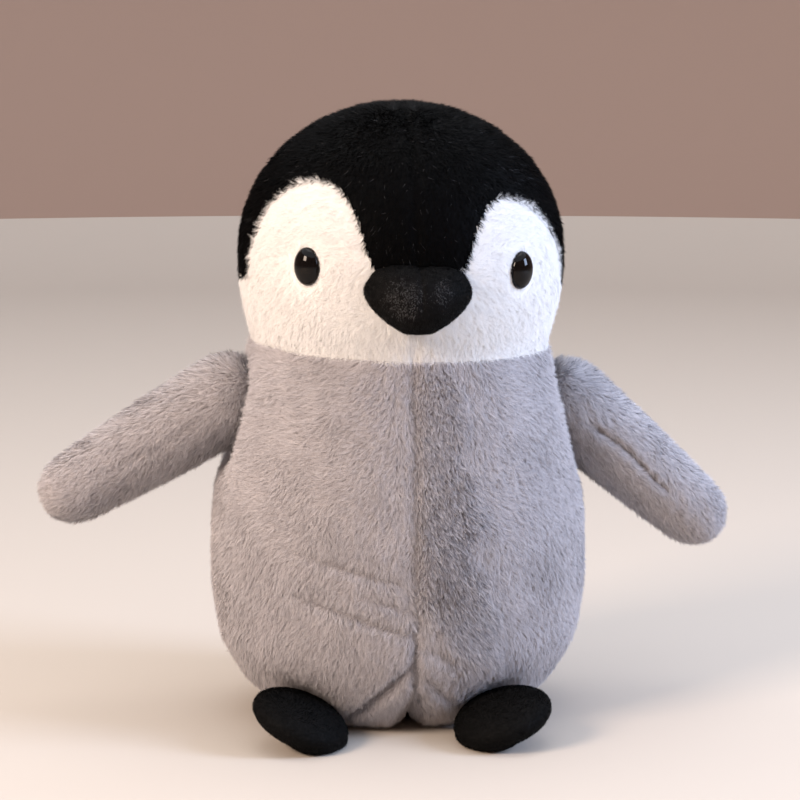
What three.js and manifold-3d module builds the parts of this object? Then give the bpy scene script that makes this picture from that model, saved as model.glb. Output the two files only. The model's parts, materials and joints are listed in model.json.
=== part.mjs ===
// A plush penguin: a stuffed body, a stuffed head sewn on at a full-width neck seam, two stuffed
// flippers that turn at their armholes, two stuffed feet that tip up, and a sewn-on beak and eyes.
// Millimetres. +Z is up, the penguin faces -Y, and its left side is +X.
// The origin is on the floor, under the middle of the flat base panel.
import * as THREE from 'three';
import { mergeVertices } from 'three/addons/utils/BufferGeometryUtils.js';
import Module from 'manifold-3d';

const wasm = await Module();
wasm.setup();

// ---- driving dimensions ----------------------------------------------------------------------
const CLOTH = 1.5; // thickness of one fabric panel, backing and the stiff foot of its pile
const GAP = 0.35; // clearance between neighbouring pieces
const FLOOR_FACE = 0; // the base panel and both soles rest on this height

// Every cross-section of the body and head is an ellipse. Its half-width and half-depth follow
// one superellipse above the widest height and another below it.
const BODY = {
  widest: 92, width: 114, depth: 96,
  above: { width: 205, depth: 216, power: 2.2 },
  below: { width: 100, depth: 100, power: 2.6 },
};
const HEAD = {
  widest: 286, width: 98, depth: 88.5,
  above: { width: 88.5, depth: 88.5, power: 2 },
  below: { width: 130, depth: 118, power: 2 }, // cut off by the neck long before it closes
};
const NECK_Z = 230; // height of the neck seam
const NECK_GROOVE = 1; // half the height of the groove that holds the neck seam's thread
const BASE_RADIUS = 58; // half-width of the flat base panel
const BASE_TAPER = 1; // the base panel's lower rim is this much smaller than its upper one
const HEAD_LEAN = THREE.MathUtils.degToRad(1.6); // the sewn head leans this far towards +X
const HEAD_NOD = THREE.MathUtils.degToRad(2.4); // and looks this far down

const FLIPPER = {
  pivotX: 104, ball: 27, upperArm: 24.5, middle: 23, tip: 20.5, reach: 109, flatness: 0.82,
};
const PIVOT_Z_RIGHT = 196.5; // the right armhole, on -X, is sewn in a little higher
const PIVOT_Z_LEFT = 190.5;
const SOCKET_CLEARANCE = 2.5; // between a flipper's ball root and its armhole
const DROOP_RIGHT = THREE.MathUtils.degToRad(30); // the penguin's right flipper, on -X
const DROOP_LEFT = THREE.MathUtils.degToRad(41); // the penguin's left flipper, on +X
const DROOP_MOST = THREE.MathUtils.degToRad(48); // as low as either flipper hangs
const SWEEP_MOST = THREE.MathUtils.degToRad(35); // as far forward or back as either swings
const ARMHOLE_CLEARANCE = 1.2; // between a fully lowered flipper and the body's side
const ROOT_OPENING = 22; // a flipper's skin is open behind this distance inward of its pivot
const FILLING_BACK = 5; // a flipper's filling starts this far inward of its pivot
const ALLOWANCE_RADIUS = 8; // the folded seam allowance that a flipper turns on
const ALLOWANCE_ROOM = 1; // between the allowance and the filling round it

const FOOT = { z: 15.5, width: 33, length: 34, height: 14.5 };
const FOOT_ROLL_LEFT = THREE.MathUtils.degToRad(20); // how far each outer edge is lifted
const FOOT_ROLL_RIGHT = THREE.MathUtils.degToRad(24);
const FOOT_LEFT = { x: 51.5, y: -89, roll: FOOT_ROLL_LEFT }; // a little nearer the middle
const FOOT_RIGHT = { x: -67.5, y: -81, roll: FOOT_ROLL_RIGHT };
const FOOT_YAW = THREE.MathUtils.degToRad(22);
const FOOT_HINGE_BACK = 30; // from the foot's centre back to the seam that it tips on
const FOOT_TIP_UP = THREE.MathUtils.degToRad(10);
const FOOT_CLEARANCE = 1.06; // the recess under the belly, as a scale of the foot

const EYE = { z: 283, halfWidth: 9, halfHeight: 11.5, dome: 6, post: 2, washer: 8.5 };
const EYE_AZIMUTH = THREE.MathUtils.degToRad(42.8); // from straight ahead to either eye
const EYE_POST_LENGTH = 9;
const EYE_POST_OVERLAP = 1; // how far the post runs up into the dome
const EYE_BORE_REACH = 20; // the post's bore is cut this far both ways
const EYE_WASHER = { back: 4.5, thickness: 1.5, room: 1 }; // behind the face, in a pocket
const BEAK = { z: 269, halfWidth: 33.5, halfHeight: 22, depth: 25, set: 3 };
const BEAK_TAPER = 0.27; // how much narrower the beak's tip is than its lobes
const BEAK_SHOULDER = 0.22; // how much wider its lobes are near the top
const BEAK_NOTCH = 0.1; // how far the top edge dips between its lobes
const BEAK_TIP_FORWARD = 2.5; // the beak's tip stands this far in front of its lobes
const LIP = { drop: 8, forward: 0.3, tilt: THREE.MathUtils.degToRad(62) }; // between its panels
const PEAK = { halfWidth: 25, z: 293 }; // the black peak between the two white patches
const BROW_LEFT = { x: 50, z: 325 }; // the top of each white patch: the right one is sewn higher
const BROW_RIGHT = { x: 55, z: 331.5 };
const CHEEK = { x: 93, z: 272 }; // where each patch leaves the head's outline
const JAW = { x: 108, z: 258 }; // below here each patch wraps round to the head's side
const FACE_BACK = 10; // as far back as the white patches wrap, behind the head's middle
const THREAD = 0.6; // radius of a visible run of seam thread

const FUR_GREY = { color: 0xa8a3a4, roughness: 0.95, metalness: 0 };
const FUR_WHITE = { color: 0xeeeae4, roughness: 0.95, metalness: 0 };
const FUR_BLACK = { color: 0x0d0d0e, roughness: 0.85, metalness: 0 };
const VELOUR_BLACK = { color: 0x161515, roughness: 0.7, metalness: 0 };
const FIBREFILL = { color: 0xf2f1ec, roughness: 1, metalness: 0 };
const EYE_PLASTIC = { color: 0x080706, roughness: 0.08, metalness: 0 };
const WASHER_PLASTIC = { color: 0xe8e8e6, roughness: 0.45, metalness: 0 };
const THREAD_GREY = { color: 0x8f8b8c, roughness: 0.8, metalness: 0 };
const THREAD_BLACK = { color: 0x101010, roughness: 0.8, metalness: 0 };

// ---- solids ----------------------------------------------------------------------------------
function toSolid(geometry) {
  const bare = geometry.clone();
  bare.deleteAttribute('normal');
  bare.deleteAttribute('uv');
  const merged = mergeVertices(bare, 1e-4);
  const vertProperties = new Float32Array(merged.attributes.position.array);
  const triVerts = new Uint32Array(merged.index.array);
  return new wasm.Manifold(new wasm.Mesh({ numProp: 3, vertProperties, triVerts }));
}

function toGeometry(solid) {
  const mesh = solid.getMesh();
  const geometry = new THREE.BufferGeometry();
  geometry.setAttribute('position', new THREE.BufferAttribute(new Float32Array(mesh.vertProperties), 3));
  geometry.setIndex(new THREE.BufferAttribute(new Uint32Array(mesh.triVerts), 1));
  geometry.computeVertexNormals();
  return geometry;
}

// Moves every vertex of a geometry with a function of its position.
function warp(geometry, move) {
  const position = geometry.attributes.position;
  const point = new THREE.Vector3();
  for (let i = 0; i < position.count; i += 1) {
    point.fromBufferAttribute(position, i);
    move(point);
    position.setXYZ(i, point.x, point.y, point.z);
  }
  return geometry;
}

function box(lowX, highX, lowY, highY, lowZ, highZ) {
  const geometry = new THREE.BoxGeometry(highX - lowX, highY - lowY, highZ - lowZ);
  return geometry.translate((lowX + highX) / 2, (lowY + highY) / 2, (lowZ + highZ) / 2);
}

const FAR = 400; // larger than the penguin, for boxes that cut it in two
const HALVES = {
  left: toSolid(box(GAP / 2, FAR, -FAR, FAR, -FAR, 2 * FAR)),
  right: toSolid(box(-FAR, -GAP / 2, -FAR, FAR, -FAR, 2 * FAR)),
  front: toSolid(box(-FAR, FAR, -FAR, -GAP / 2, -FAR, 2 * FAR)),
  back: toSolid(box(-FAR, FAR, GAP / 2, FAR, -FAR, 2 * FAR)),
};

// ---- the body's and the head's rounded form --------------------------------------------------
// The half-width or half-depth of the body or the head at a height.
function halfSize(form, way, z) {
  const part = z > form.widest ? form.above : form.below;
  const share = Math.min(1, Math.abs(z - form.widest) / part[way]);
  return form[way] * (1 - share ** part.power) ** (1 / part.power);
}

const ROUND_STEPS = 32; // facets around the body and the head
const RISE_STEPS = 10; // facets up each of them

// A solid of elliptical sections between two heights, inset by the same distance all round.
function roundedForm(form, low, high, inset) {
  const profile = [new THREE.Vector2(0, low)];
  for (let i = 0; i <= RISE_STEPS; i += 1) {
    const rise = (1 - Math.cos((Math.PI * i) / RISE_STEPS)) / 2; // closer rows at both ends
    const z = low + (high - low) * rise;
    profile.push(new THREE.Vector2(Math.max(0, halfSize(form, 'width', z) - inset), z));
  }
  if (profile[profile.length - 1].x > 0) {
    profile.push(new THREE.Vector2(0, high));
  }
  const round = new THREE.LatheGeometry(profile, ROUND_STEPS).rotateX(Math.PI / 2);
  return warp(round, (point) => {
    const width = halfSize(form, 'width', point.z);
    point.y *= width > 0 ? halfSize(form, 'depth', point.z) / width : 0;
  });
}

const BODY_TOP = NECK_Z + 8; // the body's form runs up past the leaning neck seam, which cuts it

function bodyForm(inset) {
  const low = inset > 0 ? inset : FLOOR_FACE;
  return toSolid(roundedForm(BODY, low, BODY_TOP, inset));
}

const HEAD_TOP = HEAD.widest + HEAD.above.width;

// Turns a piece of the head about the middle of the neck seam into the head's own slight lean.
const LEAN = new THREE.Matrix4().makeTranslation(0, 0, NECK_Z);
LEAN.multiply(new THREE.Matrix4().makeRotationY(HEAD_LEAN));
LEAN.multiply(new THREE.Matrix4().makeRotationX(HEAD_NOD));
LEAN.multiply(new THREE.Matrix4().makeTranslation(0, 0, -NECK_Z));

function leaning(shape) {
  return shape.isBufferGeometry ? shape.applyMatrix4(LEAN) : shape.transform(LEAN.elements);
}

function headForm(inset) {
  const outer = roundedForm(HEAD, NECK_Z, HEAD_TOP, 0);
  const scale = 1 - inset / HEAD.width;
  return toSolid(warp(outer, (point) => {
    point.x *= scale;
    point.y *= scale;
    point.z = HEAD.widest + (point.z - HEAD.widest) * (point.z > HEAD.widest ? scale : 1);
  }));
}

// A thin ring of seam thread around an elliptical section.
function threadRing(radius, depthRatio, z) {
  const sides = 4;
  const profile = [];
  for (let i = 0; i <= sides; i += 1) {
    const turn = (2 * Math.PI * (i % sides)) / sides;
    profile.push(new THREE.Vector2(radius + THREAD * Math.cos(turn), THREAD * Math.sin(turn)));
  }
  const ring = new THREE.LatheGeometry(profile, ROUND_STEPS).rotateX(Math.PI / 2);
  return ring.scale(1, depthRatio, 1).translate(0, 0, z);
}

// ---- flippers --------------------------------------------------------------------------------
const FLIPPER_STEPS = 16; // facets around a flipper

// A flipper is built along +X from its pivot: a ball, then an arm that narrows and flattens
// towards a round tip.
function flipperForm(inset) {
  const ball = FLIPPER.ball - inset;
  const tip = FLIPPER.tip - inset;
  const profile = [];
  const ballSteps = 3;
  for (let i = 0; i < ballSteps; i += 1) {
    const turn = (Math.PI / 2) * (i / ballSteps);
    profile.push(new THREE.Vector2(ball * Math.sin(turn), -ball * Math.cos(turn)));
  }
  const arm = new THREE.CatmullRomCurve3([
    new THREE.Vector3(ball, 0, 0),
    new THREE.Vector3(FLIPPER.upperArm - inset, FLIPPER.reach * 0.38, 0),
    new THREE.Vector3(FLIPPER.middle - inset, FLIPPER.reach * 0.7, 0),
    new THREE.Vector3(tip, FLIPPER.reach, 0),
  ]);
  const armSteps = 4;
  for (const point of arm.getPoints(armSteps)) {
    profile.push(new THREE.Vector2(point.x, point.y));
  }
  const tipSteps = 3;
  for (let i = 1; i <= tipSteps; i += 1) {
    const turn = (Math.PI / 2) * (i / tipSteps);
    const radius = i === tipSteps ? 0 : tip * Math.cos(turn);
    profile.push(new THREE.Vector2(radius, FLIPPER.reach + tip * Math.sin(turn)));
  }
  const flipper = new THREE.LatheGeometry(profile, FLIPPER_STEPS).rotateZ(-Math.PI / 2);
  return warp(flipper, (point) => {
    const along = THREE.MathUtils.smoothstep(point.x, 0, FLIPPER.reach * 0.6);
    point.y *= 1 - (1 - FLIPPER.flatness) * along;
  });
}

function pivotZ(side) {
  return side > 0 ? PIVOT_Z_LEFT : PIVOT_Z_RIGHT;
}

function placedFlipper(solid, side, droop, sweep = 0) {
  const placed = new THREE.Matrix4().makeTranslation(side * FLIPPER.pivotX, 0, pivotZ(side));
  placed.multiply(new THREE.Matrix4().makeRotationZ(sweep));
  placed.multiply(new THREE.Matrix4().makeRotationY(side > 0 ? droop : Math.PI - droop));
  return solid.transform(placed.elements);
}

function flipperPieces(side, droop) {
  const openRoot = toSolid(box(-ROOT_OPENING, FAR, -FAR, FAR, -FAR, FAR));
  const shell = toSolid(flipperForm(0)).subtract(toSolid(flipperForm(CLOTH))).intersect(openRoot);
  const upperSide = toSolid(box(-FAR, FAR, -FAR, FAR, GAP / 2, FAR));
  const lowerSide = toSolid(box(-FAR, FAR, -FAR, FAR, -FAR, -GAP / 2));
  const fillStart = toSolid(box(-FILLING_BACK, FAR, -FAR, FAR, -FAR, FAR));
  const pocket = toSolid(new THREE.SphereGeometry(ALLOWANCE_RADIUS + ALLOWANCE_ROOM, 12, 8));
  const filling = toSolid(flipperForm(CLOTH + GAP)).intersect(fillStart).subtract(pocket);
  // A flipper on -X is turned half round, so its upper side in the making is its lower in place.
  const [top, bottom] = side > 0 ? [upperSide, lowerSide] : [lowerSide, upperSide];
  return {
    top: placedFlipper(shell.intersect(top), side, droop),
    bottom: placedFlipper(shell.intersect(bottom), side, droop),
    filling: placedFlipper(filling, side, droop),
    allowance: new THREE.SphereGeometry(ALLOWANCE_RADIUS, 12, 8)
      .scale(0.6, 1, 1)
      .translate(side * FLIPPER.pivotX, 0, pivotZ(side)),
  };
}

// The room in the body's side that a flipper needs, from its place at rest to its lowest, swung
// forward, straight out and back.
function flipperRoom(side, droop) {
  const ball = new THREE.SphereGeometry(FLIPPER.ball + SOCKET_CLEARANCE, 20, 12);
  let room = toSolid(ball.translate(side * FLIPPER.pivotX, 0, pivotZ(side)));
  const grown = toSolid(flipperForm(-ARMHOLE_CLEARANCE));
  for (const angle of [droop, DROOP_MOST]) {
    for (const sweep of [-SWEEP_MOST, 0, SWEEP_MOST]) {
      room = room.add(placedFlipper(grown, side, angle, sweep));
    }
  }
  return room;
}

// ---- feet ------------------------------------------------------------------------------------
// Each foot is a plump oval pad, turned outward, its outer edge lifted and its sole pressed flat.
function footMatrix(side, tipUp, scale) {
  const hinge = new THREE.Vector3(0, FOOT_HINGE_BACK, 0);
  const place = side > 0 ? FOOT_LEFT : FOOT_RIGHT;
  const matrix = new THREE.Matrix4().makeTranslation(place.x, place.y, FOOT.z);
  matrix.multiply(new THREE.Matrix4().makeRotationZ(side * FOOT_YAW));
  matrix.multiply(new THREE.Matrix4().makeTranslation(hinge.x, hinge.y, hinge.z));
  matrix.multiply(new THREE.Matrix4().makeRotationX(-tipUp));
  matrix.multiply(new THREE.Matrix4().makeTranslation(-hinge.x, -hinge.y, -hinge.z));
  matrix.multiply(new THREE.Matrix4().makeRotationY(-side * place.roll));
  return matrix.multiply(new THREE.Matrix4().makeScale(scale, scale, scale));
}

function footForm(inset) {
  const pad = new THREE.SphereGeometry(1, 16, 10).rotateX(Math.PI / 2);
  return pad.scale(FOOT.width - inset, FOOT.length - inset, FOOT.height - inset);
}

function pressedFlat(geometry, floor) {
  return warp(geometry, (point) => {
    point.z = Math.max(point.z, floor);
  });
}

function footPieces(side) {
  const place = footMatrix(side, 0, 1);
  const seamGap = THREAD + GAP;
  const outer = toSolid(pressedFlat(footForm(0).applyMatrix4(place), FLOOR_FACE));
  const inner = toSolid(pressedFlat(footForm(CLOTH).applyMatrix4(place), CLOTH));
  const shell = outer.subtract(inner);
  const upperSide = box(-FAR, FAR, -FAR, FAR, seamGap, FAR).applyMatrix4(place);
  const lowerSide = box(-FAR, FAR, -FAR, FAR, -FAR, -seamGap).applyMatrix4(place);
  const seam = threadRing(FOOT.width - CLOTH / 2, 1, 0);
  seam.scale(1, FOOT.length / FOOT.width, 1).applyMatrix4(place);
  return {
    upper: shell.intersect(toSolid(upperSide)),
    sole: shell.intersect(toSolid(lowerSide)),
    filling: toSolid(pressedFlat(footForm(CLOTH + GAP).applyMatrix4(place), CLOTH + GAP)),
    seam,
  };
}

// The room that a foot sweeps through under the belly as it tips up.
function footRoom(side) {
  let room = toSolid(footForm(0).applyMatrix4(footMatrix(side, 0, FOOT_CLEARANCE)));
  for (const share of [0.5, 1]) {
    const tipped = footMatrix(side, FOOT_TIP_UP * share, FOOT_CLEARANCE);
    room = room.add(toSolid(footForm(0).applyMatrix4(tipped)));
  }
  return room;
}

// ---- eyes and beak ---------------------------------------------------------------------------
// Places a piece made along +X, from the eye's foot outwards, on the head's surface.
function onFace(geometry, side) {
  const width = halfSize(HEAD, 'width', EYE.z);
  const depth = halfSize(HEAD, 'depth', EYE.z);
  const sideways = Math.sin(EYE_AZIMUTH);
  const forwards = Math.cos(EYE_AZIMUTH);
  const reach = 1 / Math.hypot(sideways / width, forwards / depth);
  geometry.rotateZ(-Math.PI / 2 + side * EYE_AZIMUTH);
  return geometry.translate(side * reach * sideways, -reach * forwards, EYE.z);
}

function disc(radius, fromX, toX, sides) {
  const cylinder = new THREE.CylinderGeometry(radius, radius, toX - fromX, sides).rotateZ(Math.PI / 2);
  return cylinder.translate((fromX + toX) / 2, 0, 0);
}

function eyePieces(side) {
  const dome = new THREE.SphereGeometry(1, 16, 10).scale(EYE.dome, EYE.halfWidth, EYE.halfHeight);
  const frontOnly = toSolid(box(GAP * 2, FAR, -FAR, FAR, -FAR, FAR));
  const post = toSolid(disc(EYE.post, -EYE_POST_LENGTH, EYE_POST_OVERLAP, 8));
  const eye = toSolid(dome).intersect(frontOnly).add(post);
  const washerFront = -EYE_WASHER.back;
  const washer = toSolid(disc(EYE.washer, washerFront - EYE_WASHER.thickness, washerFront, 16));
  const bore = disc(EYE.post + GAP, -EYE_BORE_REACH, EYE_BORE_REACH, 8);
  const pocketBack = -EYE_POST_LENGTH - 2 * EYE_WASHER.room;
  return {
    eye: onFace(toGeometry(eye), side),
    washer: onFace(toGeometry(washer.subtract(toSolid(bore))), side),
    hole: toSolid(onFace(bore.clone(), side)),
    pocket: toSolid(onFace(disc(EYE.washer + EYE_WASHER.room, pocketBack, EYE_BORE_REACH, 16), side)),
  };
}

// The beak is broad with round corners at the top and narrows to a blunt tip below.
function beakForm(inset) {
  const pad = new THREE.SphereGeometry(1, 24, 14).rotateX(Math.PI / 2);
  const widestAt = 0.35; // as a share of the half-height, above the middle
  const notchWidth = 0.3; // as a share of the half-width
  return warp(pad, (point) => {
    const narrowing = 1 - BEAK_TAPER * THREE.MathUtils.smoothstep(-point.z, -widestAt, 1);
    const shoulder = 1 + BEAK_SHOULDER * THREE.MathUtils.smoothstep(point.z, widestAt, 1);
    const notch = 1 - BEAK_NOTCH * Math.exp(-((point.x / notchWidth) ** 2)) * Math.max(0, point.z);
    point.x *= (BEAK.halfWidth - inset) * narrowing * shoulder;
    point.y *= BEAK.depth - inset;
    point.y -= BEAK_TIP_FORWARD * Math.max(0, -point.z);
    point.z = BEAK.z + point.z * (BEAK.halfHeight - inset) * notch;
    point.y -= halfSize(HEAD, 'depth', BEAK.z) - BEAK.set;
  });
}

function beakPieces(headOutside) {
  const lipY = -halfSize(HEAD, 'depth', BEAK.z) - BEAK.depth * LIP.forward;
  const lip = new THREE.Matrix4().makeTranslation(0, lipY, BEAK.z - LIP.drop);
  lip.multiply(new THREE.Matrix4().makeRotationX(LIP.tilt));
  const above = toSolid(box(-FAR, FAR, -FAR, FAR, GAP / 2, FAR).applyMatrix4(lip));
  const below = toSolid(box(-FAR, FAR, -FAR, FAR, -FAR, -GAP / 2).applyMatrix4(lip));
  const outer = toSolid(beakForm(0));
  const shell = outer.subtract(toSolid(beakForm(CLOTH))).subtract(headOutside);
  return {
    upper: shell.intersect(above),
    lower: shell.intersect(below),
    filling: toSolid(beakForm(CLOTH + GAP)).subtract(headOutside),
  };
}

// ---- the white face's outline, seen from the front -------------------------------------------
// It runs from the chin's centre seam up under the beak, round the black peak, over the brow, down
// beside the cheek, and out round the jaw to the neck.
function faceOutline(side, grow) {
  const brow = side > 0 ? BROW_LEFT : BROW_RIGHT;
  const chin = -grow - GAP;
  const below = NECK_Z - FACE_BACK;
  const peakX = PEAK.halfWidth - grow;
  const browZ = brow.z + grow;
  const innerPull = 8; // how far each of the brow's curves is drawn out at its ends
  const outerPull = 21;
  const cheekRise = 27;
  const outline = new THREE.Shape();
  outline.moveTo(chin, below);
  outline.lineTo(chin, EYE.z + grow);
  outline.lineTo(peakX, EYE.z + grow);
  outline.bezierCurveTo(peakX + innerPull, PEAK.z, peakX + innerPull, browZ, brow.x, browZ);
  outline.bezierCurveTo(
    brow.x + outerPull + grow, browZ, CHEEK.x + grow, brow.z - cheekRise, CHEEK.x + grow, CHEEK.z,
  );
  outline.lineTo(JAW.x + grow, JAW.z);
  outline.lineTo(JAW.x + grow, below);
  outline.closePath();
  return outline;
}

function facePrism(side, grow) {
  const options = { depth: FAR, bevelEnabled: false, curveSegments: 8 };
  const prism = new THREE.ExtrudeGeometry(faceOutline(side, grow), options).rotateX(Math.PI / 2);
  // ExtrudeGeometry runs along +Z, which the turn lays along -Y.
  const solid = toSolid(prism.translate(0, FACE_BACK + grow, 0));
  return side > 0 ? solid : solid.mirror([1, 0, 0]);
}

// ---- the assembly ----------------------------------------------------------------------------
const penguin = new THREE.Group();

function add(name, shape, finish, parent = penguin) {
  const geometry = shape.isBufferGeometry ? shape : toGeometry(shape);
  const mesh = new THREE.Mesh(geometry, new THREE.MeshStandardMaterial(finish));
  mesh.name = name;
  parent.add(mesh);
}

const SIDES = [['left', 1, DROOP_LEFT], ['right', -1, DROOP_RIGHT]];

// Room in the body for both flippers' ball roots and both feet.
let bodyRoom = toSolid(new THREE.BoxGeometry(1, 1, 1).translate(0, 0, -FAR));
for (const [, side, droop] of SIDES) {
  bodyRoom = bodyRoom.add(flipperRoom(side, droop)).add(footRoom(side));
}

// Everything between the base and a height below the leaning neck seam.
function bodySpan(belowNeck) {
  const aboveBase = toSolid(box(-FAR, FAR, -FAR, FAR, CLOTH + GAP, 2 * FAR));
  return aboveBase.intersect(leaning(toSolid(box(-FAR, FAR, -FAR, FAR, -FAR, NECK_Z - belowNeck))));
}

const bodyShell = bodyForm(0).subtract(bodyForm(CLOTH)).intersect(bodySpan(NECK_GROOVE)).subtract(bodyRoom);
for (const [sideName] of SIDES) {
  for (const faceName of ['front', 'back']) {
    const gore = bodyShell.intersect(HALVES[sideName]).intersect(HALVES[faceName]);
    add(`body_${faceName}_${sideName}_panel`, gore, FUR_GREY);
  }
}
const basePanel = new THREE.CylinderGeometry(BASE_RADIUS, BASE_RADIUS - BASE_TAPER, CLOTH, ROUND_STEPS);
basePanel.rotateX(Math.PI / 2).scale(1, BODY.depth / BODY.width, 1).translate(0, 0, CLOTH / 2);
add('body_base_panel', basePanel, FUR_GREY);
const bodyFilling = bodyForm(CLOTH + GAP).intersect(bodySpan(NECK_GROOVE)).subtract(bodyRoom);
add('body_stuffing', bodyFilling, FIBREFILL);

const neckWidth = halfSize(BODY, 'width', NECK_Z);
const neckRatio = halfSize(BODY, 'depth', NECK_Z) / neckWidth;
add('neck_seam_thread', leaning(threadRing(neckWidth - THREAD, neckRatio, NECK_Z)), THREAD_GREY);
const baseRing = threadRing(BASE_RADIUS + THREAD + GAP, BODY.depth / BODY.width, THREAD + GAP);
add('base_seam_thread', baseRing, THREAD_GREY);

const aboveNeck = toSolid(box(-FAR, FAR, -FAR, FAR, NECK_Z + NECK_GROOVE, 2 * FAR));
const headOutside = headForm(0);
const headShell = headOutside.subtract(headForm(CLOTH)).intersect(aboveNeck);
const headFillBottom = toSolid(box(-FAR, FAR, -FAR, FAR, NECK_Z + GAP, 2 * FAR));
let headFilling = headForm(CLOTH + GAP).intersect(headFillBottom);
for (const [sideName, side] of SIDES) {
  const half = headShell.intersect(HALVES[sideName]);
  const eye = eyePieces(side);
  const cap = half.subtract(facePrism(side, GAP));
  const face = half.intersect(facePrism(side, 0)).subtract(eye.hole);
  add(`head_cap_${sideName}_panel`, leaning(cap), FUR_BLACK);
  add(`face_${sideName}_panel`, leaning(face), FUR_WHITE);
  add(`eye_${sideName}`, leaning(eye.eye), EYE_PLASTIC);
  add(`eye_washer_${sideName}`, leaning(eye.washer), WASHER_PLASTIC);
  headFilling = headFilling.subtract(eye.pocket);
}
add('head_stuffing', leaning(headFilling), FIBREFILL);

const beak = beakPieces(headForm(-GAP));
add('beak_upper_panel', leaning(beak.upper), VELOUR_BLACK);
add('beak_lower_panel', leaning(beak.lower), VELOUR_BLACK);
add('beak_stuffing', leaning(beak.filling), FIBREFILL);

for (const [sideName, side, droop] of SIDES) {
  const flipper = flipperPieces(side, droop);
  add(`flipper_${sideName}_top_panel`, flipper.top, FUR_GREY);
  add(`flipper_${sideName}_bottom_panel`, flipper.bottom, FUR_GREY);
  add(`flipper_${sideName}_stuffing`, flipper.filling, FIBREFILL);
  add(`flipper_${sideName}_seam_allowance`, flipper.allowance, FUR_GREY);
  const foot = footPieces(side);
  add(`foot_${sideName}_upper_panel`, foot.upper, VELOUR_BLACK);
  add(`foot_${sideName}_sole_panel`, foot.sole, VELOUR_BLACK);
  add(`foot_${sideName}_stuffing`, foot.filling, FIBREFILL);
  add(`foot_${sideName}_seam_thread`, foot.seam, THREAD_BLACK);
}

export default penguin;
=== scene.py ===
"""A plush penguin's looks: filled skins, combed fur, velour beak and feet, and glossy eyes.

Every size is in metres in the part's own frame: +Z up, the penguin faces -Y, its left is +X.
"""
import json
import math

import bmesh
import bpy
import numpy as np
from mathutils import Matrix, Vector
from mathutils.bvhtree import BVHTree
from mathutils.kdtree import KDTree


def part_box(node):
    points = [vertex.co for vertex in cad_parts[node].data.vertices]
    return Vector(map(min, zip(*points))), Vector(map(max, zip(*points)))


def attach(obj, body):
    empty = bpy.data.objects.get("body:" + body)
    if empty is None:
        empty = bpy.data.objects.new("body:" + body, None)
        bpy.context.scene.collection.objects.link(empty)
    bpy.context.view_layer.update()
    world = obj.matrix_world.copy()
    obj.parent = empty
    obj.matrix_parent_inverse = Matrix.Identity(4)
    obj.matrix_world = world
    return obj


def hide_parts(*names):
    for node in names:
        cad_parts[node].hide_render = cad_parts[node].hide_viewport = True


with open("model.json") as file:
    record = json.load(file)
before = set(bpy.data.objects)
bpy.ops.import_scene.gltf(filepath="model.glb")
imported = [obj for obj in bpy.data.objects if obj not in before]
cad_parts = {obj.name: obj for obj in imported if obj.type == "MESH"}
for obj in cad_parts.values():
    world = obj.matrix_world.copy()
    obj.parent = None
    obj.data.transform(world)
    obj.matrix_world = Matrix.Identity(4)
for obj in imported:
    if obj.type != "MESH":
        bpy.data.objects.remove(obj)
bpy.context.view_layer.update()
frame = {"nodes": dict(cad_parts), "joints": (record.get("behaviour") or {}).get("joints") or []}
NODES = frame["nodes"]
JOINTS = {joint["name"]: joint for joint in frame["joints"]}

MM = 0.001
SIDES = (("left", 1), ("right", -1))
PIVOTS = {name: Vector(JOINTS[f"flipper_{name}_flap"]["pos_m"]) for name, _ in SIDES}
BEAK_LOW, BEAK_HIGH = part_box("beak_upper_panel")
BEAK_CENTRE = (BEAK_LOW + BEAK_HIGH) / 2
SKIN_OUT = 0.6 * MM  # how far the skin under the pile stands outside the CAD panels' outer faces
GREY_DENSITY, HEAD_DENSITY, VELOUR_DENSITY = 6.5, 5.0, 4.0  # strands for each square millimetre


# ---- materials -------------------------------------------------------------------------------
def new_material(name, colour, roughness, **sockets):
    """A Principled material with plain values on the shader's own sockets."""
    material = bpy.data.materials.new(name)
    material.use_nodes = True
    shader = material.node_tree.nodes["Principled BSDF"]
    shader.inputs["Base Color"].default_value = (*colour, 1)
    shader.inputs["Roughness"].default_value = roughness
    for socket, value in sockets.items():
        shader.inputs[socket.replace("_", " ")].default_value = value
    return material


def node(material, kind, **inputs):
    """A new shader node with plain values on its named inputs."""
    made = material.node_tree.nodes.new(kind)
    for name, value in inputs.items():
        made.inputs[name.replace("_", " ")].default_value = value
    return made


def link(material, source, target):
    material.node_tree.links.new(source, target)


FIBRE_FINENESS = 14  # how many times finer the fibres' noise is than the nap's
FIBRE_SHARE = 0.55  # of the cloth's light and dark, that comes from the fibres and not from the nap
DARK_BELOW, LIGHT_ABOVE = 0.3, 0.7  # noise levels where the cloth is all dark, and all light


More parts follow.
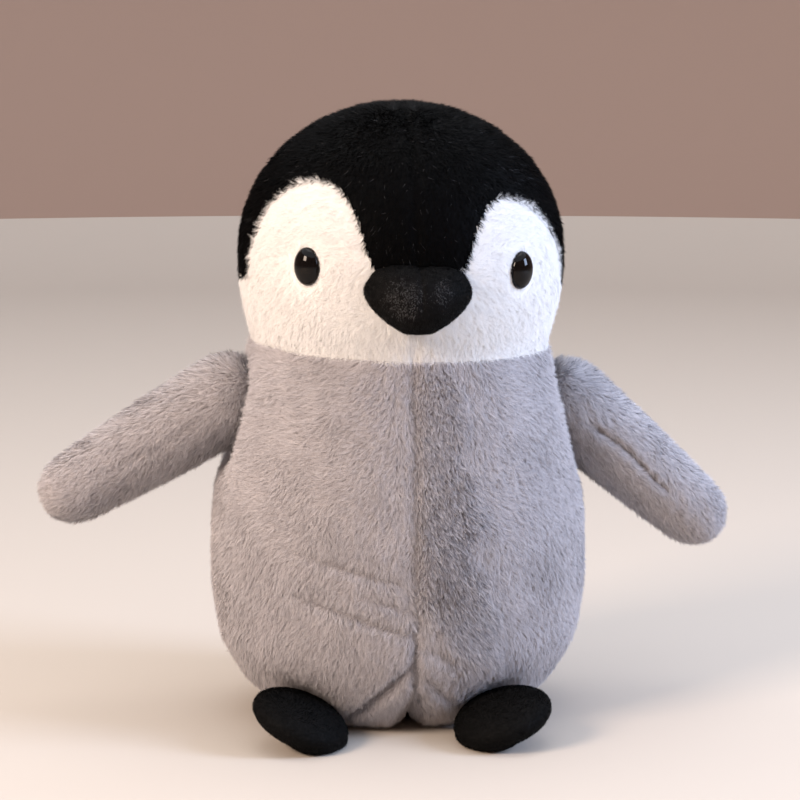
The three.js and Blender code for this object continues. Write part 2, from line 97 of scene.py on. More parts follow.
def cloth_material(name, dark, light, roughness, nap_scale, bump_height, **sockets):
    """The cloth under the pile: light and dark nap, and fine fibres that raise the surface."""
    material = new_material(name, light, roughness, **sockets)
    shader = material.node_tree.nodes["Principled BSDF"]
    place = node(material, "ShaderNodeTexCoord").outputs["Object"]
    nap = node(material, "ShaderNodeTexNoise", Scale=nap_scale, Detail=5.0, Roughness=0.6)
    fibres = node(material, "ShaderNodeTexNoise", Scale=nap_scale * FIBRE_FINENESS, Detail=3.0,
                  Roughness=0.7)
    for texture in (nap, fibres):
        link(material, place, texture.inputs["Vector"])
    ramp = node(material, "ShaderNodeValToRGB")
    ramp.color_ramp.elements[0].position = DARK_BELOW
    ramp.color_ramp.elements[0].color = (*dark, 1)
    ramp.color_ramp.elements[1].position = LIGHT_ABOVE
    ramp.color_ramp.elements[1].color = (*light, 1)
    both = node(material, "ShaderNodeMath")
    both.operation = "MULTIPLY_ADD"
    both.inputs[1].default_value = FIBRE_SHARE
    link(material, fibres.outputs["Fac"], both.inputs[0])
    nap_part = node(material, "ShaderNodeMath")
    nap_part.operation = "MULTIPLY"
    nap_part.inputs[1].default_value = 1 - FIBRE_SHARE
    link(material, nap.outputs["Fac"], nap_part.inputs[0])
    link(material, nap_part.outputs[0], both.inputs[2])
    link(material, both.outputs[0], ramp.inputs["Fac"])
    link(material, ramp.outputs["Color"], shader.inputs["Base Color"])
    bump = node(material, "ShaderNodeBump", Strength=0.6, Distance=bump_height)
    link(material, fibres.outputs["Fac"], bump.inputs["Height"])
    link(material, bump.outputs["Normal"], shader.inputs["Normal"])
    return material


# Each fur's tones, darkest first. The black one ends with the light tone of its painted glints.
GREY_TONES = ((0.25, 0.233, 0.244), (0.37, 0.348, 0.363), (0.48, 0.455, 0.474), (0.585, 0.557, 0.576),
              (0.69, 0.66, 0.676))
WHITE_TONES = ((0.84, 0.83, 0.81), (0.87, 0.862, 0.85), (0.885, 0.88, 0.87), (0.90, 0.896, 0.89),
               (0.92, 0.916, 0.912))
BLACK_TONES = ((0.0007, 0.0007, 0.0008), (0.0010, 0.0010, 0.0012), (0.0016, 0.0016, 0.0018),
               (0.0028, 0.0028, 0.003), (0.08, 0.08, 0.085))
VELOUR_TONES = ((0.0015, 0.0015, 0.0015), (0.004, 0.004, 0.004), (0.009, 0.0088, 0.0088),
                (0.019, 0.0185, 0.0185), (0.075, 0.074, 0.076))


def strand_materials(name, tones, roughness, sheen, specular):
    """One plain material for each tone of a fur, darkest first."""
    return [
        new_material(f"{name}_{i}", tone, roughness, Sheen_Weight=sheen, Specular_IOR_Level=specular)
        for i, tone in enumerate(tones)
    ]


FUR = {
    "grey": strand_materials("grey_pile", GREY_TONES, roughness=0.75, sheen=0.2, specular=0.2),
    "white": strand_materials("white_pile", WHITE_TONES, roughness=0.75, sheen=0.2, specular=0.25),
    "black": strand_materials("black_pile", BLACK_TONES, roughness=0.45, sheen=0, specular=0.045),
    "velour": strand_materials("velour_pile", VELOUR_TONES, roughness=0.5, sheen=0, specular=0.02),
}
PLUSH_NAP, VELOUR_NAP = 220, 500  # noise scales
PLUSH_BUMP, VELOUR_BUMP = 0.5 * MM, 0.25 * MM
BACKING = {
    "grey": cloth_material("grey_backing", GREY_TONES[0], GREY_TONES[2], 0.9, PLUSH_NAP, PLUSH_BUMP),
    "white": cloth_material("white_backing", WHITE_TONES[0], WHITE_TONES[2], 0.9, PLUSH_NAP, PLUSH_BUMP),
    "black": cloth_material("black_backing", BLACK_TONES[0], BLACK_TONES[1], 0.8, PLUSH_NAP, PLUSH_BUMP,
                            Specular_IOR_Level=0.1),
    "velour": cloth_material("velour_backing", VELOUR_TONES[0], VELOUR_TONES[2], 0.55, VELOUR_NAP,
                             VELOUR_BUMP, Specular_IOR_Level=0.03),
}


# ---- filled skins ----------------------------------------------------------------------------
def mesh_arrays(obj):
    """A mesh's points, its points' normals, and its triangles."""
    mesh = obj.data
    points = np.empty(len(mesh.vertices) * 3)
    mesh.vertices.foreach_get("co", points)
    normals = np.empty(len(mesh.vertices) * 3)
    mesh.vertices.foreach_get("normal", normals)
    mesh.calc_loop_triangles()
    corners = np.empty(len(mesh.loop_triangles) * 3, dtype=np.int32)
    mesh.loop_triangles.foreach_get("vertices", corners)
    return points.reshape(-1, 3), normals.reshape(-1, 3), corners.reshape(-1, 3)


def ring_plane(node_name):
    """The middle of a ring-shaped node, and the upward normal of the plane that it lies in."""
    points, _, _ = mesh_arrays(NODES[node_name])
    middle = points.mean(axis=0)
    _, _, ways = np.linalg.svd(points - middle)
    return middle, ways[2] * np.sign(ways[2][2])


def set_points(obj, points):
    obj.data.vertices.foreach_set("co", points.ravel())
    obj.data.update()


def new_object(name, mesh):
    obj = bpy.data.objects.new(name, mesh)
    bpy.context.scene.collection.objects.link(obj)
    return obj


def apply_modifiers(obj):
    """Replaces an object's mesh by what its modifiers make of it."""
    graph = bpy.context.evaluated_depsgraph_get()
    mesh = bpy.data.meshes.new_from_object(obj.evaluated_get(graph))
    obj.modifiers.clear()
    obj.data = mesh


def keep_largest_island(mesh_data):
    """Drops the small closed shells that a remesh leaves inside."""
    shape = bmesh.new()
    shape.from_mesh(mesh_data)
    unseen = set(shape.verts)
    islands = []
    while unseen:
        island = {unseen.pop()}
        edge = list(island)
        while edge:
            vert = edge.pop()
            for near in (link_edge.other_vert(vert) for link_edge in vert.link_edges):
                if near in unseen:
                    unseen.discard(near)
                    island.add(near)
                    edge.append(near)
        islands.append(island)
    islands.sort(key=len)
    stray = [vert for island in islands[:-1] for vert in island]
    bmesh.ops.delete(shape, geom=stray, context="VERTS")
    shape.to_mesh(mesh_data)
    shape.free()


SMOOTHING = 14  # rounds, enough to melt the CAD solids' facets
SAME_POINT = 0.01 * MM  # corners of neighbouring CAD solids this near each other are one corner


def skin_from(name, node_names, voxel, as_hull):
    """A closed skin round some CAD solids, or round their hull, as even small quads."""
    shape = bmesh.new()
    for node_name in node_names:
        shape.from_mesh(NODES[node_name].data)
    if as_hull:
        bmesh.ops.remove_doubles(shape, verts=shape.verts, dist=SAME_POINT)
        hull = bmesh.ops.convex_hull(shape, input=shape.verts)
        inside = [item for item in hull["geom_interior"] + hull["geom_unused"]
                  if isinstance(item, bmesh.types.BMVert)]
        bmesh.ops.delete(shape, geom=list(set(inside)), context="VERTS")
        bmesh.ops.recalc_face_normals(shape, faces=shape.faces)
    mesh = bpy.data.meshes.new(name)
    shape.to_mesh(mesh)
    shape.free()
    obj = new_object(name, mesh)
    remesh = obj.modifiers.new("even", "REMESH")
    remesh.mode = "VOXEL"
    remesh.voxel_size = voxel
    smooth = obj.modifiers.new("soften", "SMOOTH")
    smooth.factor = 0.5
    smooth.iterations = SMOOTHING
    apply_modifiers(obj)
    keep_largest_island(obj.data)
    return obj


def smooth_step(value, low, high):
    """Rises softly from 0 where value is low to 1 where it is high."""
    share = np.clip((value - low) / (high - low), 0, 1)
    return share * share * (3 - 2 * share)


def distance_to(points, place):
    return np.linalg.norm(points - np.array(place), axis=1)


def fill_with_stuffing(obj, held, most, pressure=4.0, last_frame=20):
    """Swells a skin with cloth pressure. held gives each point's share that its seams keep still."""
    start, _, _ = mesh_arrays(obj)
    group = obj.vertex_groups.new(name="sewn")
    for index in np.nonzero(held > 0.5)[0]:
        group.add([int(index)], 1.0, "REPLACE")
    cloth = obj.modifiers.new("cloth", "CLOTH")
    cloth.settings.quality = 4
    cloth.settings.vertex_group_mass = "sewn"
    cloth.settings.use_pressure = True
    cloth.settings.uniform_pressure_force = pressure
    cloth.settings.tension_stiffness = 8
    cloth.settings.compression_stiffness = 8
    cloth.settings.bending_stiffness = 0.4
    cloth.settings.effector_weights.gravity = 0
    cloth.collision_settings.use_collision = False
    cloth.point_cache.frame_start = 1
    cloth.point_cache.frame_end = last_frame
    for step in range(1, last_frame + 1):
        bpy.context.scene.frame_set(step)
    apply_modifiers(obj)
    bpy.context.scene.frame_set(1)
    swollen, _, _ = mesh_arrays(obj)
    move = swollen - start
    far = np.linalg.norm(move, axis=1, keepdims=True)
    move *= np.minimum(1, most / np.maximum(far, 1e-9)) * (1 - held)[:, None]
    set_points(obj, start + move)
    obj.vertex_groups.clear()


def subdivide(obj, levels=1):
    modifier = obj.modifiers.new("fine", "SUBSURF")
    modifier.levels = levels
    modifier.render_levels = levels
    apply_modifiers(obj)
    obj.data.polygons.foreach_set("use_smooth", np.ones(len(obj.data.polygons), dtype=bool))


# ---- fur -------------------------------------------------------------------------------------
def roots_on(obj, per_mm2, seed):
    """Random root points on a skin, evenly by area, and the skin's normal at each."""
    points, normals, corners = mesh_arrays(obj)
    a, b, c = (points[corners[:, i]] for i in range(3))
    area = np.linalg.norm(np.cross(b - a, c - a), axis=1) / 2
    rng = np.random.default_rng(seed)
    count = int(area.sum() / MM**2 * per_mm2)
    face = rng.choice(len(area), size=count, p=area / area.sum())
    u, v = rng.random(count), rng.random(count)
    over = u + v > 1
    u[over], v[over] = 1 - u[over], 1 - v[over]
    weights = np.stack([1 - u - v, u, v], axis=1)[:, :, None]
    root = (points[corners[face]] * weights).sum(axis=1)
    normal = (normals[corners[face]] * weights).sum(axis=1)
    return root, normal / np.linalg.norm(normal, axis=1, keepdims=True)


def unit(vectors):
    return vectors / np.maximum(np.linalg.norm(vectors, axis=1, keepdims=True), 1e-9)


SINES = 6
SHORTEST, LONGEST = 0.7, 1.5  # of the asked wavelength


def waves(points, wavelength, seed):
    """Smooth noise from about -1 to 1, as a sum of sines in random directions."""
    rng = np.random.default_rng(seed)
    total = np.zeros(len(points))
    for _ in range(SINES):
        direction = rng.normal(size=3)
        length = wavelength * rng.uniform(SHORTEST, LONGEST)
        direction *= 2 * math.pi / (length * np.linalg.norm(direction))
        total += np.sin(points @ direction + rng.uniform(0, 2 * math.pi))
    return total / math.sqrt(SINES)


def along_skin(direction, normal):
    """The part of a direction that lies in the skin, at length one."""
    return unit(direction - normal * (direction * normal).sum(axis=1, keepdims=True))


def nearest_guides(root, share, seed):
    """For each root, the index of the nearest of a random few, which its tuft gathers to."""
    rng = np.random.default_rng(seed)
    guides = rng.choice(len(root), size=max(1, int(len(root) * share)), replace=False)
    tree = KDTree(len(guides))
    for i, guide in enumerate(guides):
        tree.insert(root[guide], i)
    tree.balance()
    return np.array([guides[tree.find(place)[1]] for place in root])


MOST_ROLL = 1.0  # radians by which a strand's flat side may turn away from the skin's own direction
SOFTNESS = 0.25  # how much of a strand's own direction is left in its shading


def strand_mesh(name, root, tip, facing, width, tone, materials, seed):
    """Flat tapered strands, one triangle each, shaded nearly like the skin that they grow on."""
    count = len(root)
    roll = np.random.default_rng(seed).uniform(-MOST_ROLL, MOST_ROLL, size=(count, 1))
    stem = unit(tip - root)
    level = unit(np.cross(stem, facing))
    side = level * np.cos(roll) + np.cross(stem, level) * np.sin(roll)
    half = side * (width / 2)[:, None]
    points = np.stack([root - half, root + half, tip], axis=1).reshape(-1, 3)
    shading = unit(facing + SOFTNESS * np.cross(side, stem))
    mesh = bpy.data.meshes.new(name)
    mesh.vertices.add(count * 3)
    mesh.vertices.foreach_set("co", points.ravel())
    mesh.loops.add(count * 3)
    mesh.loops.foreach_set("vertex_index", np.arange(count * 3, dtype=np.int32))
    mesh.polygons.add(count)
    mesh.polygons.foreach_set("loop_start", np.arange(0, count * 3, 3, dtype=np.int32))
    for material in materials:
        mesh.materials.append(material)
    mesh.polygons.foreach_set("material_index", tone.astype(np.int32))
    mesh.polygons.foreach_set("use_smooth", np.ones(count, dtype=bool))
    mesh.update(calc_edges=True)
    mesh.normals_split_custom_set_from_vertices(np.repeat(shading, 3, axis=0))
    return new_object(name, mesh)


MOST_STRANDS = 180000  # in one piece, so that each piece stays a manageable mesh
FLOOR_GAP = 0.2 * MM  # no strand's tip hangs lower than this
ROOT_DEPTH = 0.3 * MM  # how far under the skin a strand starts
STRAND_WIDTH = 0.235 * MM
WIDTH_RANGE = (0.75, 1.25)  # of the fur's strand width
# How a fur varies. Turns are in radians and lightness is in tones; the others are shares.
WIDE_TURN, WIDE_TURN_LENGTH = 0.26, 40 * MM  # the comb's slow wandering over the skin
FINE_TURN, FINE_TURN_LENGTH = 0.26, 9 * MM
TUFT_TURN, STRAND_TURN = 0.32, 0.22
LENGTH_SPREAD, LENGTH_RANGE = 0.14, (0.5, 1.5)
STAND_SPREAD, STAND_RANGE = 0.3, (0.12, 5)
MOTTLE, MOTTLE_LENGTH = 0.15, 22 * MM
TUFT_LIGHT, STRAND_LIGHT = 0.5, 0.75
MIDDLE_SHIFT = 0.3  # how much darker than its middle tone a fur is on average


def grow_fur(name, root, normal, comb, length, kind, body, seed, width=STRAND_WIDTH, stand=0.5,
             tuft_share=0.2, gather=0.5, turn=0, shade=0, spread=1, glint=0):
    """Grows combed and tufted strands, in as many pieces as their number needs.

    stand is how upright they are: 0 lies flat along the comb. turn is an extra angle of the comb at
    each root, shade an extra lightness in tones, and spread how widely the tones vary. tuft_share is
    the number of tufts for each strand, and gather how far its tips draw together. A share glint of the
    strands has the fur's last and lightest tone, as painted glints, and if there is one, no others
    have it.
    """
    rng = np.random.default_rng(seed)
    count = len(root)
    guide = nearest_guides(root, tuft_share, seed)
    swirl = (turn + WIDE_TURN * waves(root, WIDE_TURN_LENGTH, seed + 1)
             + FINE_TURN * waves(root, FINE_TURN_LENGTH, seed + 3)
             + TUFT_TURN * rng.normal(size=count)[guide] + STRAND_TURN * rng.normal(size=count))
    across = np.cross(normal, comb)
    flow = comb * np.cos(swirl)[:, None] + across * np.sin(swirl)[:, None]
    vary = 1 + LENGTH_SPREAD * rng.normal(size=count)[guide] + LENGTH_SPREAD * rng.normal(size=count)
    grown = length * vary.clip(*LENGTH_RANGE)
    upright = (stand * (1 + STAND_SPREAD * rng.normal(size=count)[guide])).clip(*STAND_RANGE)[:, None]
    start = root - normal * ROOT_DEPTH
    tip = root + unit(flow + normal * upright) * grown[:, None]
    tip += (tip[guide] - tip) * gather
    tip[:, 2] = np.maximum(tip[:, 2], FLOOR_GAP)
    tones = len(FUR[kind])
    tuft_light = rng.normal(size=count)[guide]
    own_light = rng.normal(size=count)
    light = (tones / 2 - MIDDLE_SHIFT + MOTTLE * waves(root, MOTTLE_LENGTH, seed + 2)
             + spread * (TUFT_LIGHT * tuft_light + STRAND_LIGHT * own_light) + shade)
    lightest = tones - (2 if glint else 1)
    tone = np.clip(np.round(light), 0, lightest).astype(int)
    # painted glints: a few strands get the lightest tone
    tone[rng.random(count) < glint] = tones - 1
    thick = width * rng.uniform(*WIDTH_RANGE, size=count)
    parts = math.ceil(count / MOST_STRANDS)
    order = np.argsort(root[:, 2], kind="stable")
    for i, chosen in enumerate(np.array_split(order, parts)):
        piece = strand_mesh(f"{name}_{i + 1}", start[chosen], tip[chosen], normal[chosen], thick[chosen],
                            tone[chosen], FUR[kind], seed + 7 + i)
        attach(piece, body)


# ---- body ------------------------------------------------------------------------------------
BODY_PANELS = [f"body_{face}_{side}_panel" for face in ("front", "back") for side, _ in SIDES]
HEAD_PANELS = [f"{part}_{side}_panel" for part in ("head_cap", "face") for side, _ in SIDES]
PILE = 5.7 * MM  # the plush fur's length
SWELL_MOST = 2.6 * MM  # how far the filling may push out a large skin
NECK_MIDDLE, NECK_NORMAL = ring_plane("neck_seam_thread")


def above_neck(points):
    """How far a point is above the leaning plane of the neck seam."""
    return (points - NECK_MIDDLE) @ NECK_NORMAL


def socket_distance(points):
    """How far a point is from the nearer flipper's pivot."""
    return np.minimum(*(distance_to(points, PIVOTS[name]) for name, _ in SIDES))


def eye_place(side_name):
    """The middle of an eye's dome, from its CAD box, and the way that it looks."""
    low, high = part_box(f"eye_{side_name}")
    washer_low, washer_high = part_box(f"eye_washer_{side_name}")
    middle = (low + high) / 2
    return middle, (middle - (washer_low + washer_high) / 2).normalized()


def nearest_eye(points):
    """The middle of the nearer eye, for each point."""
    left, right = (np.array(eye_place(name)[0]) for name, _ in SIDES)
    return np.where(points[:, :1] > 0, left, right)


EYE_ASPECT = 0.78  # an eye's width over its height
EYE_RIM = 9 * MM  # half of an eye's width


def eye_distance(points):
    """How far a point is from the nearer eye, with the upright oval of an eye drawn in to a circle."""
    return np.linalg.norm((points - nearest_eye(points)) * (1, 1, EYE_ASPECT), axis=1)


END_FADE = 0.12  # of half a turn: a crease isn't quite gone at its ends


def crease_depth(points, ends, depth, width):
    """How deep a crease runs at each point, on the front, between two (x, z) ends."""
    start, stop = (np.array(end) * MM for end in ends)
    flat = points[:, [0, 2]] - start
    way = stop - start
    share = np.clip(flat @ way / (way @ way), 0, 1)
    off = np.linalg.norm(flat - share[:, None] * way, axis=1)
    fade = np.sin(math.pi * (END_FADE + (1 - 2 * END_FADE) * share))
    front = points[:, 1] < 0
    return depth * fade * np.exp(-((off / width) ** 2)) * front


# The belly's puckers: a pair that spread from the foot of the front seam, shallow ones across its
# right side, and the notch between its two lobes. Each is two (x, z) ends in millimetres, then its
# depth and width.
PUCKERS = (
    (((0, 52), (-38, 10)), 4.4 * MM, 2.8 * MM),
    (((2, 46), (26, 20)), 1.4 * MM, 2.8 * MM),
    (((-1, 68), (-72, 92)), 2.2 * MM, 2.2 * MM),
    (((-10, 100), (-74, 118)), 1.7 * MM, 2.2 * MM),
    (((-4, 84), (-30, 92)), 1.2 * MM, 2.0 * MM),
    (((4, 62), (34, 44)), 1.2 * MM, 2.4 * MM),
    (((0, 22), (0, -6)), 6.0 * MM, 7 * MM),
)


def pucker(points):
    return sum(crease_depth(points, *one) for one in PUCKERS)


SEAM_WIDTH = 2.4 * MM
SEAM_DEPTH, CROTCH_EXTRA = 0.9 * MM, 2.6 * MM
CROTCH_LOW, CROTCH_TOP = 30 * MM, 90 * MM  # the extra depth grows from the upper height to the lower


def front_seam(points):
    """How deep the front seam is drawn in: deeper towards the crotch."""
    across = np.exp(-((points[:, 0] / SEAM_WIDTH) ** 2))
    deeper = SEAM_DEPTH + CROTCH_EXTRA * (1 - smooth_step(points[:, 2], CROTCH_LOW, CROTCH_TOP))
    return across * deeper * (points[:, 1] < 0)


def draw_in(obj):
    """Presses the seam and the puckers into a skin, along its own normals."""
    points, normals, _ = mesh_arrays(obj)
    set_points(obj, points - normals * (pucker(points) + front_seam(points))[:, None])


TORSO_VOXEL = 4.5 * MM


def make_torso():
    """Fills the body and the head as one skin, and cuts it at the neck seam into two closed ones."""
    nodes = [*BODY_PANELS, "body_stuffing", "body_base_panel", *HEAD_PANELS, "head_stuffing",
             "neck_seam_thread"]
    skin = skin_from("torso_skin", nodes, TORSO_VOXEL, as_hull=False)
    points, normals, _ = mesh_arrays(skin)
    foot_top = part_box("foot_left_upper_panel")[1].z
    centre_seam = 1 - smooth_step(abs(points[:, 0]), 1.5 * MM, 7 * MM)
    neck = 1 - smooth_step(abs(above_neck(points)), 2 * MM, 12 * MM)
    socket = 1 - smooth_step(socket_distance(points), 36 * MM, 55 * MM)
    low = 1 - smooth_step(points[:, 2], foot_top * 0.5, foot_top * 1.3)
    eyes = 1 - smooth_step(eye_distance(points), 10 * MM, 18 * MM)
    held = np.max([centre_seam * 0.6, neck * 0.8, socket, low, eyes * 0.8], axis=0)
    set_points(skin, points + normals * (SKIN_OUT * (1 - np.max([socket, low], axis=0)))[:, None])
    fill_with_stuffing(skin, held, SWELL_MOST)
    subdivide(skin)
    draw_in(skin)
    body = cut_at_neck(skin, "body_skin", above=False)
    body.data.materials.append(BACKING["grey"])
    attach(body, "torso")
    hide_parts(*BODY_PANELS, "body_stuffing", "body_base_panel", "base_seam_thread")
    head = cut_at_neck(skin, "head_skin", above=True)
    head.data.materials.append(BACKING["white"])
    head.data.materials.append(BACKING["black"])
    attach(head, "torso")
    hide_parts(*HEAD_PANELS, "head_stuffing", "eye_washer_left", "eye_washer_right",
                "neck_seam_thread")
    bpy.data.objects.remove(skin)
    return body, head


def cut_at_neck(skin, name, above):
    """A closed copy of the part of a skin that is above or below the neck seam."""
    shape = bmesh.new()
    shape.from_mesh(skin.data)
    everything = [*shape.verts, *shape.edges, *shape.faces]
    cut = bmesh.ops.bisect_plane(shape, geom=everything, plane_co=NECK_MIDDLE, plane_no=NECK_NORMAL,
                                 clear_inner=above, clear_outer=not above)
    rim = [item for item in cut["geom_cut"] if isinstance(item, bmesh.types.BMEdge)]
    outward = NECK_NORMAL * (-1 if above else 1)
    lid = bmesh.ops.triangle_fill(shape, edges=rim, use_beauty=True, normal=outward)
    for face in (item for item in lid["geom"] if isinstance(item, bmesh.types.BMFace)):
        face.smooth = False
    bmesh.ops.recalc_face_normals(shape, faces=shape.faces)
    mesh = bpy.data.meshes.new(name)
    shape.to_mesh(mesh)
    shape.free()
    return new_object(name, mesh)


PATCH_TOP, PATCH_FOOT = 222 * MM, 44 * MM
PATCH_START, PATCH_DRIFT, PATCH_HOOK = 9 * MM, 12 * MM, 18 * MM  # its middle's x, and how that moves
PATCH_HALF, PATCH_BELLY = 12 * MM, 9 * MM  # half its width at its ends, and how much more halfway
PATCH_RAGGED, PATCH_RAGGED_LENGTH = 0.22, 26 * MM
PATCH_FAINT = 0.4  # its strength at the top, where 1 is full


def brushed_patch(points):
    """Where the belly's nap stands upright from brushing, beside the front seam, with a little painted
    shade: a share at each point.
    """
    down = (PATCH_TOP - points[:, 2]) / (PATCH_TOP - PATCH_FOOT)
    middle = PATCH_START + PATCH_DRIFT * down + PATCH_HOOK * smooth_step(down, 0.65, 1)
    ragged = 1 + PATCH_RAGGED * waves(points, PATCH_RAGGED_LENGTH, 131)
    half = (PATCH_HALF + PATCH_BELLY * np.sin(math.pi * np.clip(down, 0, 1))) * ragged
    off = np.abs(points[:, 0] - middle)
    inside = 1 - smooth_step(off, half * 0.75, half * 1.3)
    ends = smooth_step(down, -0.08, 0.05) * (1 - smooth_step(down, 0.9, 1.05))
    strength = PATCH_FAINT + (1 - PATCH_FAINT) * smooth_step(down, 0.25, 0.6)
    at_seam = smooth_step(points[:, 0], -0.5 * MM, 1 * MM)
    return inside * ends * strength * at_seam * (points[:, 1] < 0)


SOCKET_BALD = 30.5 * MM  # no fur grows nearer a pivot than this, under the flipper's root
CREASE_SHORT = 0.4  # how much shorter the fur is in a full crease
# Painted shade: fur in a full crease or at the front seam is this many tones darker.
CREASE_SHADE = -1.5


def dress_body(skin):
    """The body's fur: combed to the sides higher up, and upright in the patch beside the seam."""
    root, normal = roots_on(skin, GREY_DENSITY, 101)
    in_socket = socket_distance(root) < SOCKET_BALD
    on_lid = above_neck(root) > -0.1 * MM
    under = (root[:, 2] < 3 * MM) & (normal[:, 2] < -0.7)
    kept = ~(in_socket | on_lid | under)
    root, normal = root[kept], normal[kept]
    down = along_skin(np.tile((0.0, 0.0, -1.0), (len(root), 1)), normal)
    at_socket = 1 - smooth_step(socket_distance(root), 30 * MM, 40 * MM)
    creased = np.minimum(1, (pucker(root) + front_seam(root)) / (2.2 * MM))
    patch = brushed_patch(root)
    front = root[:, 1] < 20 * MM
    high = smooth_step(root[:, 2], 80 * MM, 190 * MM)
    right_turn = (0.15 + 1.0 * high) * smooth_step(-root[:, 0], -4 * MM, 40 * MM)
    left_turn = (0.3 + 0.4 * high) * smooth_step(root[:, 0], 20 * MM, 60 * MM)
    left_smooth = smooth_step(root[:, 0], 45 * MM, 80 * MM)
    length = PILE * (1 - CREASE_SHORT * creased)
    grow_fur("body_fur", root, normal, down, length, "grey", "torso", 110,
             stand=0.45 + 2.2 * patch + 0.5 * at_socket,
             turn=(left_turn - right_turn) * front,
             # painted shade: a little in the upright patch, more in the creases and the seam
             shade=-0.15 * patch + CREASE_SHADE * creased,
             spread=0.8 + 1.6 * patch - 0.35 * left_smooth)


# ---- head ------------------------------------------------------------------------------------
def panel_tree(node_name):
    points, _, corners = mesh_arrays(NODES[node_name])
    return BVHTree.FromPolygons(points.tolist(), corners.tolist())


def nearest_gap(trees, place):
    """How far a place is from the nearest of some panels."""
    return min(tree.find_nearest(place)[3] for tree in trees)


def is_face(points):
    """True where the nearest CAD panel is one of the two white face panels."""
    faces = [panel_tree(f"face_{name}_panel") for name, _ in SIDES]
    caps = [panel_tree(f"head_cap_{name}_panel") for name, _ in SIDES]
    return np.array([nearest_gap(faces, place) < nearest_gap(caps, place) for place in points])


def colour_head(skin):
    """Gives each of the head skin's faces the white or the black backing."""
    centres = np.empty(len(skin.data.polygons) * 3)
    skin.data.polygons.foreach_get("center", centres)
    black = ~is_face(centres.reshape(-1, 3))
    skin.data.polygons.foreach_set("material_index", black.astype(np.int32))


BEAK_BALD = 0.85  # of the beak's box: no fur grows on the head under this much of the beak
FACE_LENGTH, CAP_LENGTH = 0.95, 0.8  # of the plush fur's length
RIM_LENGTH = 0.55  # of the face fur's length, at an eye's rim
NECK_SHORT = 0.3  # how much shorter the fur is at the neck seam
DOWN_PULL, NECK_PULL = 0.5, 1.2  # how strongly the face's nap hangs, and how much more at the neck
EYE_PULL = 1.4  # how strongly the fur at an eye's rim leans over it
# Painted shade: face fur at an eye's rim is this many tones darker, round the sunk eye.
RIM_SHADE = -2
# the share of the cap's strands with the light tone, as painted glints
PAINTED_GLINTS = 0.004


def dress_head(skin):
    """The head's fur: away from the beak on the white face, and down and back on the black cap."""
    root, normal = roots_on(skin, HEAD_DENSITY, 201)
    on_lid = above_neck(root) < 0.1 * MM
    beak_half = (BEAK_HIGH - BEAK_LOW) / 2
    across = (root[:, 0] - BEAK_CENTRE.x) / (beak_half.x * BEAK_BALD)
    upward = (root[:, 2] - BEAK_CENTRE.z) / (beak_half.z * BEAK_BALD)
    in_beak = (across**2 + upward**2 < 1) & (root[:, 1] < 0)
    eye_gap = eye_distance(root)
    kept = ~(on_lid | in_beak | (eye_gap < EYE_RIM + 0.3 * MM))
    root, normal, eye_gap = root[kept], normal[kept], eye_gap[kept]
    white = is_face(root)
    down = np.tile((0.0, 0.0, -1.0), (len(root), 1))
    from_beak = unit(root - np.array(BEAK_CENTRE))
    hang = NECK_PULL * (1 - smooth_step(above_neck(root), 0, 20 * MM))
    face_comb = along_skin(from_beak + (DOWN_PULL + hang)[:, None] * down, normal)
    cap_comb = along_skin(down + np.array((0, 0.25, 0)), normal)
    at_neck = 1 - smooth_step(above_neck(root), 0, 9 * MM)
    from_rim = smooth_step(eye_gap, EYE_RIM, EYE_RIM + 12 * MM)
    length = PILE * (RIM_LENGTH + (1 - RIM_LENGTH) * from_rim) * (1 - NECK_SHORT * at_neck)
    over_eye = (1 - smooth_step(eye_gap, EYE_RIM, EYE_RIM + 3.5 * MM))[:, None]
    to_eye = unit(nearest_eye(root) - root)
    face_comb = along_skin(face_comb * (1 - over_eye) + EYE_PULL * to_eye * over_eye, normal)
    grow_fur("face_fur", root[white], normal[white], face_comb[white], length[white] * FACE_LENGTH,
             "white", "torso", 220, width=0.24 * MM, stand=0.3, gather=0.3, spread=0.7,
             # painted shade round the eyes
             shade=RIM_SHADE * over_eye[white, 0])
    grow_fur("cap_fur", root[~white], normal[~white], cap_comb[~white], length[~white] * CAP_LENGTH,
             "black", "torso", 240, glint=PAINTED_GLINTS)


# ---- flippers --------------------------------------------------------------------------------
FLIPPER_VOXEL = 3.5 * MM
FLIPPER_TIP_RADIUS = 20.5 * MM
ROOT_SINK = 0.6 * MM  # how far in the skin lies at the root, inside the armhole
INNER_BALD = 17 * MM  # no fur grows further inside the body than this from the pivot
FLIPPER_LENGTH = 0.95  # of the plush fur's length
CREASE_DEPTHS = {"left": 2.8 * MM, "right": 0.7 * MM}
CREASE_WIDTH = 1.7 * MM
CREASE_WAVER, CREASE_WAVER_LENGTH = 0.8 * MM, 9 * MM  # how far and how fast the crease wanders
# Painted shade: fur in a flipper's full crease is this many tones darker.
FLIPPER_CREASE_SHADE = -1.6


def tip_way(side_name):
    """The way from a flipper's pivot to its tip."""
    low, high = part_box(f"flipper_{side_name}_top_panel")
    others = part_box(f"flipper_{side_name}_bottom_panel")
    low = Vector(map(min, low, others[0]))
    high = Vector(map(max, high, others[1]))
    pivot = PIVOTS[side_name]
    tip = FLIPPER_TIP_RADIUS
    far = high.x - tip if pivot.x > 0 else low.x + tip
    return np.array(Vector((far - pivot.x, 0, low.z + tip - pivot.z)).normalized())


def flipper_crease(points, side_name):
    """How deep the seam along a flipper's front is drawn in: deeply on the left one."""
    way = tip_way(side_name)
    across = np.cross(way, (0, 1, 0))
    from_pivot = points - np.array(PIVOTS[side_name])
    along = from_pivot @ way
    off = from_pivot @ across + CREASE_WAVER * np.sin(along / CREASE_WAVER_LENGTH)
    stretch = smooth_step(along, 10 * MM, 25 * MM) * (1 - smooth_step(along, 70 * MM, 90 * MM))
    depth = CREASE_DEPTHS[side_name] * stretch * np.exp(-((off / CREASE_WIDTH) ** 2))
    return depth * (from_pivot[:, 1] < 0)


